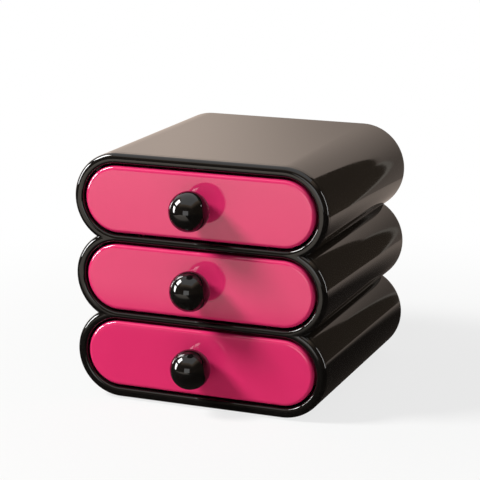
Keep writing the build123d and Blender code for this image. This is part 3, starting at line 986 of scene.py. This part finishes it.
def card_glow(name, colour, level, *ramps):
    """The glow of a card: an even level that each ramp raises along its axis."""
    material, tree, place = new_material(name)
    along = add_node(tree, "ShaderNodeSeparateXYZ", {"Vector": place})
    strength = level
    for axis, start, end, rise in ramps:
        ramp = add_node(
            tree,
            "ShaderNodeMapRange",
            {"Value": along[axis], "From Min": start, "From Max": end, "To Max": rise},
            interpolation_type="SMOOTHSTEP",
        )
        strength = add_node(tree, "ShaderNodeMath", {0: strength, 1: ramp["Result"]})[0]
    light = add_node(tree, "ShaderNodeEmission", {"Color": hex_colour(colour), "Strength": strength})
    add_node(tree, "ShaderNodeOutputMaterial", {"Surface": light["Emission"]})
    return material


def card(name, glow, centre, sizes, turn):
    """A card that only shows in the gloss, as studio cards outside the picture do."""
    piece = begin(
        name,
        bpy.ops.mesh.primitive_plane_add,
        size=1,
        location=centre,
        rotation=turn,
        sizes=(*sizes, 1),
    )
    dress(piece, glow)
    piece.visible_camera = False
    piece.visible_diffuse = False
    piece.visible_shadow = False


def lamp(name, direction, distance, sizes, radiance, lights=True, shows=True):
    """A rectangular soft lamp that looks at the box, and lights it, shows in its gloss or both."""
    data = bpy.data.lights.new(name, "AREA")
    data.shape = "RECTANGLE"
    data.size, data.size_y = sizes
    data.energy = radiance * WATTS_PER_AREA * sizes[0] * sizes[1]
    holder = bpy.data.objects.new(name, data)
    bpy.context.scene.collection.objects.link(holder)
    holder.location = CAMERA_TARGET + Vector(direction).normalized() * distance
    holder.rotation_euler = (CAMERA_TARGET - holder.location).to_track_quat("-Z", "Y").to_euler()
    holder.visible_camera = False
    holder.visible_diffuse = lights
    holder.visible_glossy = shows


def camera():
    """A long lens that looks at the box from the front right, a little from above."""
    data = bpy.data.cameras.new("camera")
    data.lens = CAMERA_LENS
    data.sensor_width = CAMERA_SENSOR
    data.shift_x, data.shift_y = CAMERA_SHIFT
    back = Vector((
        math.sin(CAMERA_AZIMUTH) * math.cos(CAMERA_ELEVATION),
        -math.cos(CAMERA_AZIMUTH) * math.cos(CAMERA_ELEVATION),
        math.sin(CAMERA_ELEVATION),
    ))
    holder = bpy.data.objects.new("camera", data)
    bpy.context.scene.collection.objects.link(holder)
    holder.location = CAMERA_TARGET + back * CAMERA_DISTANCE
    holder.rotation_euler = (-back).to_track_quat("-Z", "Y").to_euler()
    bpy.context.scene.camera = holder


def studio():
    """A white surround and floor, one lamp from the left that lights the box, and the lamps and cards that
    only show in its gloss."""
    white_surround()
    paper_floor()
    lamp("key_lamp", shows=False, **KEY_LAMP)
    for name, settings in GLOSS_LAMPS.items():
        lamp(name, lights=False, **settings)
    glows = {name: card_glow(name, *settings) for name, settings in CARD_GLOWS.items()}
    for name, (glow, centre, sizes, turn) in CARDS.items():
        card(name, glows[glow], centre, sizes, turn)


# Assembly

def deliver(piece, body, slot, node):
    """Gives a finished piece its material and says where it belongs."""
    dress(piece, MATERIALS[slot])
    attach(piece, body)
    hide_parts(node)


# Finishes by slot: a name, two shades and a roughness, and for a plastic its coat or grain
MATERIALS = {
    "gloss_black_abs": polished_abs("polished_black_abs", "#110F0E", "#0C0B0A", 0.045, coat=0),
    "matte_black_abs": grained_plastic("moulded_black_abs", "#1A1715", "#141210", 0.5, MOULD_GRAIN),
    "gloss_pink_abs": polished_abs("polished_pink_abs", "#DE2F69", "#D82B65", 0.06, coat=0.7),
    "satin_pink_abs": grained_plastic("moulded_pink_abs", "#D93A70", "#CF3267", 0.42, MOULD_GRAIN),
    "foot_rubber": grained_plastic("moulded_rubber", "#211F1E", "#191817", 0.8, RUBBER_GRAIN),
    "insert_brass": turned_metal("turned_brass", "#C9A24E", "#B48A3C", 0.28),
    "zinc_plated_steel": turned_metal("zinc_plated_steel", "#C6CBD0", "#AEB6BF", 0.32),
}
deliver(rim_moulding(), "housing", "gloss_black_abs", "front_bezel")
deliver(shell_moulding(), "housing", "gloss_black_abs", "housing_shell")
deliver(rubber_pads(), "housing", "foot_rubber", "anti_slip_feet")
drawer_pieces = {
    "front_moulding": (front_moulding(), "gloss_pink_abs", "drawer_front"),
    "tray_moulding": (tray_moulding(), "satin_pink_abs", "drawer_tray"),
    "ball_knob": (ball_knob(), "gloss_black_abs", "knob"),
    "cross_screw": (cross_screw(), "zinc_plated_steel", "knob_screw"),
}
for kind, (piece, slot, node) in drawer_pieces.items():
    for n, tier in enumerate(TIERS):
        copy = copy_of(piece, f"{tier}_{kind}", (0, 0, n * TIER_PITCH)) if n else piece
        deliver(copy, f"{tier}_drawer", slot, f"{tier}_{node}")
for name in ("lower_shelf", "upper_shelf"):
    dress(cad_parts[name], MATERIALS["matte_black_abs"])
for tier in TIERS:
    dress(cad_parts[f"{tier}_knob_insert"], MATERIALS["insert_brass"])

camera()
studio()
bpy.context.scene.view_settings.view_transform = "Standard"
